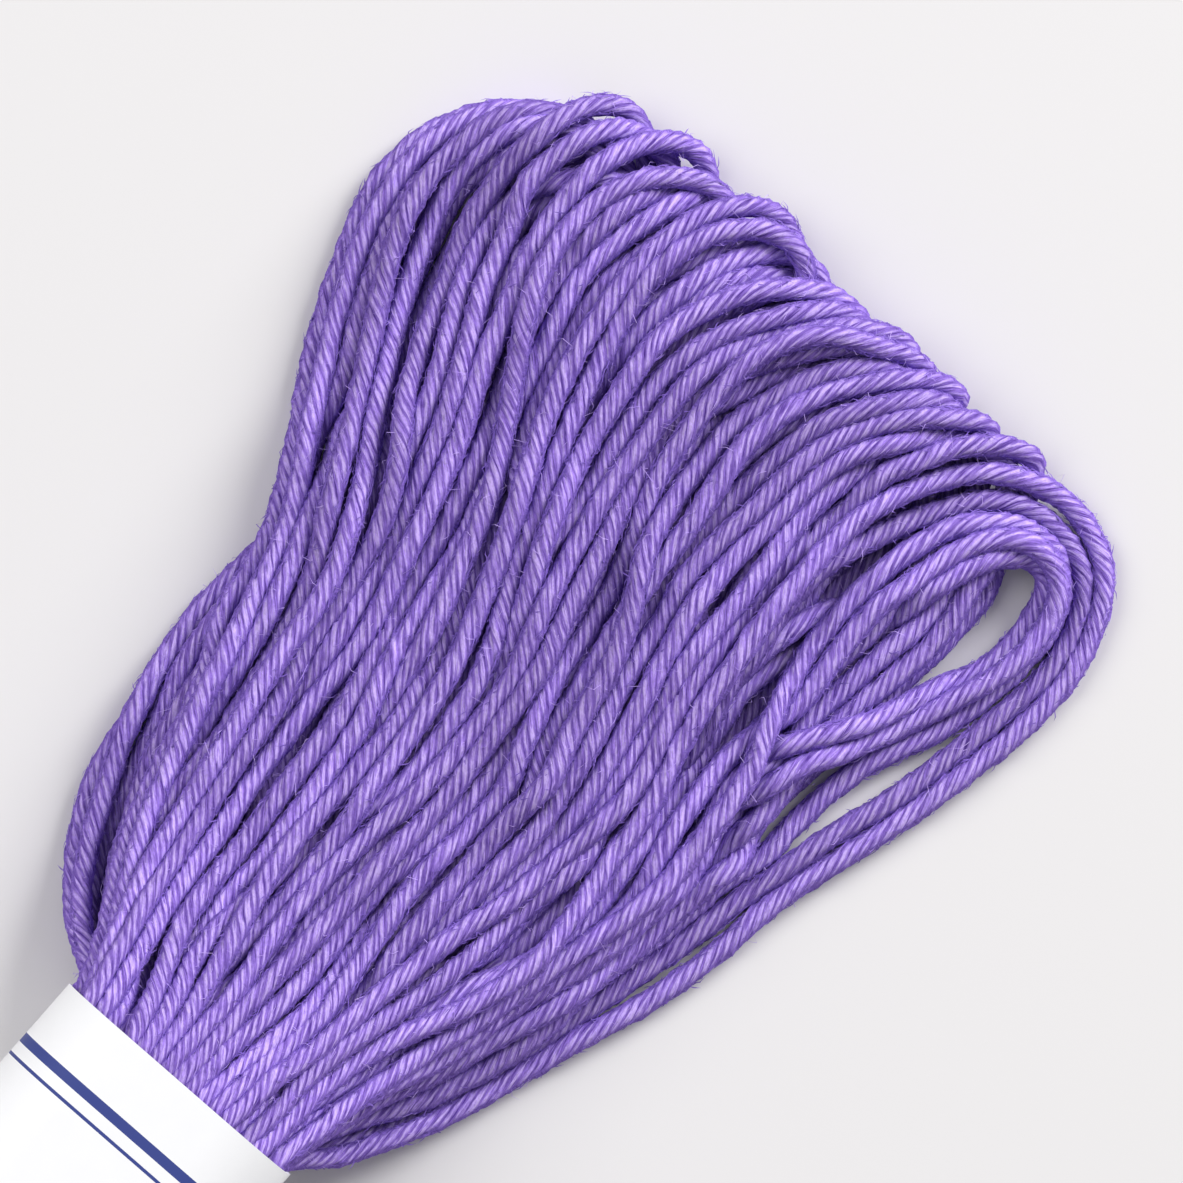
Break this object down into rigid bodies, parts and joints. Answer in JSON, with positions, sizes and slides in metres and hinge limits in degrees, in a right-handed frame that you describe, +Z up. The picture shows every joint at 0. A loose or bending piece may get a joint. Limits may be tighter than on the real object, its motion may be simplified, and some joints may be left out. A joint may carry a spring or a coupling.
{
  "type": "skein of sashiko thread",
  "caption": "Skein of plied cotton sewing thread, wound in long loops, fanned out at both ends and held at the middle by a plain paper band.",
  "frame": {"origin": "on the table, under the middle of the skein's box", "axes": "+X along the hank towards the looped end with the open eye, +Y across it, +Z up from the table"},
  "size_m": [0.1304, 0.0344, 0.01],
  "materials": {
    "cotton_thread": "matte plied cotton, purple",
    "band_paper": "smooth uncoated white paper with a dark blue double line"
  },
  "bodies": {
    "root": {"hank": "cotton_thread", "paper_band": "band_paper"}
  },
  "joints": []
}
